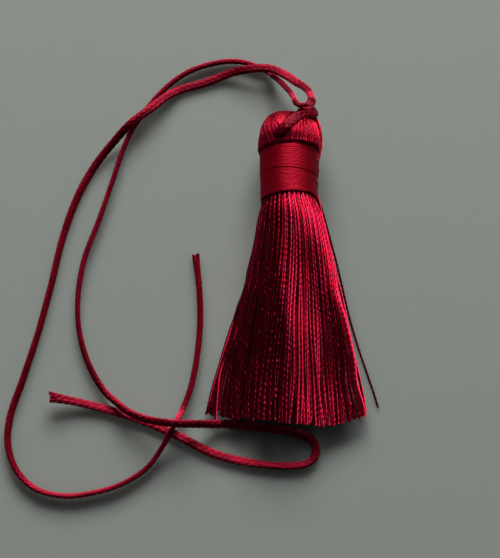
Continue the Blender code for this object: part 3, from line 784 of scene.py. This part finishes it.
def cord(material, knot_material):
    dice = random.Random(SEED + 3)
    line = cord_line()
    start = int(np.argmin(np.linalg.norm(line - np.array(TAIL_INNER[0]) * MM, axis=1)))
    finish = int(np.argmin(np.linalg.norm(line - np.array(TAIL_OUTER[0]) * MM, axis=1)))
    along = distance(line)
    turn = np.concatenate((
        turned_at(along[start] - along[: start + 1], INNER_TURN),
        np.zeros(finish - start - 1),
        turned_at(along[finish:] - along[finish], OUTER_TURN),
    ))
    through = np.arange(start + 1, finish)
    middle = np.interp(through, (start, finish), (turn[start], turn[finish]))
    hold = np.minimum(1, np.minimum(through - start, finish - through) / 18)
    turn[start + 1 : finish] = middle * (1 - hold)
    outward = unit(line - HEAD_MIDDLE)
    near = np.minimum(abs(along - along[start]), abs(along - along[finish])) / (9 * MM)
    near = np.clip(1 - near, 0, 1)
    near[start : finish + 1] = 1
    facing = unit(outward * near[:, None] + np.array((0, 0, 1.0)) * (1 - near[:, None]))
    lying = np.clip((1.3 * MM - line[:, 2]) / (0.4 * MM), 0, 1)
    standing = np.hypot(CORD_WIDE / 2 * np.sin(turn), CORD_THICK / 2 * np.cos(turn))
    line[:, 2] += lying * (standing + STITCH_RISE - CORD_LIES)
    stitch_tones = [dice.uniform(-0.12, 0.28) for _ in range(89)]
    pieces = []
    for name, first, last, node in (
        ("tail_inner_braid", 0, start, "tail_inner"),
        ("knot_braid", start, finish, "cord_knot"),
        ("tail_outer_braid", finish, len(line) - 1, "tail_outer"),
    ):
        cut = {"tail_inner": 0, "tail_outer": len(line) - 1}.get(node)
        span = slice(max(first, 5), min(last, len(line) - 6) + 1)
        bunch = Threads(32)
        from_cut = np.minimum(along[span], along[-1] - along[span])
        flare = {"tail_inner": 0.28, "tail_outer": 0.16}.get(node, 0.0)
        grow = 1 + flare * np.clip(1 - from_cut / (4.5 * MM), 0, 1) ** 1.3
        if node == "cord_knot":
            inside = np.arange(len(grow))
            grow = 1 + KNOT_WIDER * np.clip(np.minimum(inside, inside[::-1]) / 16, 0, 1)
        across, up = braid(
            bunch, line[span], facing[span], turn[span], along[span.start], grow, stitch_tones
        )
        if cut is not None:
            inner = 0 if cut == 0 else -1
            ahead = unit(line[cut] - line[abs(cut - 12)])
            bunch.sides = 6
            frayed_end(
                bunch, line[span][inner], ahead, across[inner] * grow[inner], up[inner],
                1 + flare * 0.6, dice,
            )
        piece = bunch.mesh(name, knot_material if node == "cord_knot" else material)
        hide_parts(node)
        pieces.append(piece)
    return pieces


def loose_yarn(material):
    line = smooth_line(np.array(STRAY_YARN) * MM, STRAY_STEP)
    across, up = frames(line, (0, 0, 1))
    bunch = Threads(8)
    turn = distance(line) / PLY_TURN * 2 * math.pi
    bunch.add(
        line, across, up, YARN_WIDE, YARN_WIDE, turn=turn, waist=YARN_WAIST, tone=0.3, groove=0.3
    )
    piece = bunch.mesh("loose_yarn", material)
    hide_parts("stray_yarn")
    return piece


# ---------------------------------------------------------------- table, light and camera


TABLE_SPREAD = 4.0 * MM


def table():
    """Plain pale table that spreads light a little sideways, as thick cloth does."""
    bpy.ops.object.select_all(action="DESELECT")
    bpy.ops.mesh.primitive_plane_add(size=2.0, location=(0, 0, 0))
    plane = bpy.context.object
    plane.name = "table"
    material = bpy.data.materials.new("pale_table")
    material.use_nodes = True
    shader = material.node_tree.nodes["Principled BSDF"]
    shader.inputs["Base Color"].default_value = (0.188, 0.204, 0.192, 1.0)
    shader.inputs["Roughness"].default_value = 0.9
    shader.inputs["Specular IOR Level"].default_value = 0.1
    shader.subsurface_method = "BURLEY"
    shader.inputs["Subsurface Weight"].default_value = 1.0
    shader.inputs["Subsurface Radius"].default_value = (1.1, 1.0, 1.0)
    shader.inputs["Subsurface Scale"].default_value = TABLE_SPREAD
    plane.data.materials.append(material)


def lamp(name, toward, away, size, energy, colour):
    """A soft rectangular lamp, so many metres away, that faces the tassel."""
    light = bpy.data.lights.new(name, "AREA")
    light.shape = "RECTANGLE"
    light.size, light.size_y = size
    light.energy = energy
    light.color = colour
    obj = bpy.data.objects.new(name, light)
    obj.location = Vector(toward).normalized() * away
    obj.rotation_euler = (-Vector(toward)).to_track_quat("-Z", "Y").to_euler()
    bpy.context.scene.collection.objects.link(obj)


def light_and_camera():
    world = bpy.data.worlds.new("soft_room")
    bpy.context.scene.world = world
    world.use_nodes = True
    world.node_tree.nodes["Background"].inputs["Color"].default_value = (0.9, 0.95, 1.0, 1.0)
    world.node_tree.nodes["Background"].inputs["Strength"].default_value = 0.045
    lamp("window", (0.02, 0.87, 0.49), 1.2, (0.85, 0.56), 37.0, (1.0, 0.99, 0.96))
    lamp("pale_wall", (0.90, 0.10, 0.35), 1.2, (0.60, 0.40), 0.4, (1.0, 0.95, 0.97))
    camera = bpy.data.cameras.new("camera")
    camera.sensor_width = 36.0
    camera.lens = 133.9355
    camera.clip_start = 0.01
    obj = bpy.data.objects.new("camera", camera)
    obj.location = (-6.75 * MM, -135.7 * MM, 368.1 * MM)
    obj.rotation_euler = (math.radians(20), 0, 0)
    bpy.context.scene.collection.objects.link(obj)
    bpy.context.scene.camera = obj
    bpy.context.scene.view_settings.view_transform = "Standard"


yarn_silk = silk("silk_yarn_finish", (0.27, 0.002, 0.010), (0.60, 0.021, 0.080), 0.60, 9, 1.0, 0.91)
# The fold is the same yarn as the skirt: its darker colours are painted shade over the head, and
# its lower body gives it less lustre.
shaded_fold_silk = silk(
    "folded_yarn_shaded_finish", (0.23, 0.001, 0.007), (0.50, 0.010, 0.047), 0.60, 9, 0.8, 0.91
)
thread_silk = silk(
    "binding_finish", (0.30, 0.001, 0.010), (0.39, 0.002, 0.019), 0.48, 3, 0.65, 0.09
)
braid_silk = silk("braid_finish", (0.10, 0.0, 0.005), (0.42, 0.006, 0.034), 0.60, 12, 0.6, 0.0)
# The knot and the stray yarn are dyed like the rest. Their darker finish stands for shade.
dim_silk = silk("dim_finish", (0.06, 0.0, 0.003), (0.25, 0.002, 0.015), 0.60, 12, 0.6, 0.0)
# The body inside the fold is the same yarn as the rest; its near-black colours are painted shade
# between the outer yarns.
heart_shade_silk = silk("heart_painted_shade", (0.05, 0.0, 0.003), (0.09, 0.001, 0.006), 0.6, 9, 0.3, 0.0)

light_and_camera()
table()
for piece in skirt_yarns(yarn_silk) + fold_yarns(shaded_fold_silk) + [fold_heart(heart_shade_silk)]:
    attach(piece, "root")
wound = binding(thread_silk)
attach(wound, "root")
for piece in cord(braid_silk, dim_silk):
    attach(piece, "root")
stray = loose_yarn(dim_silk)
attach(stray, "root")
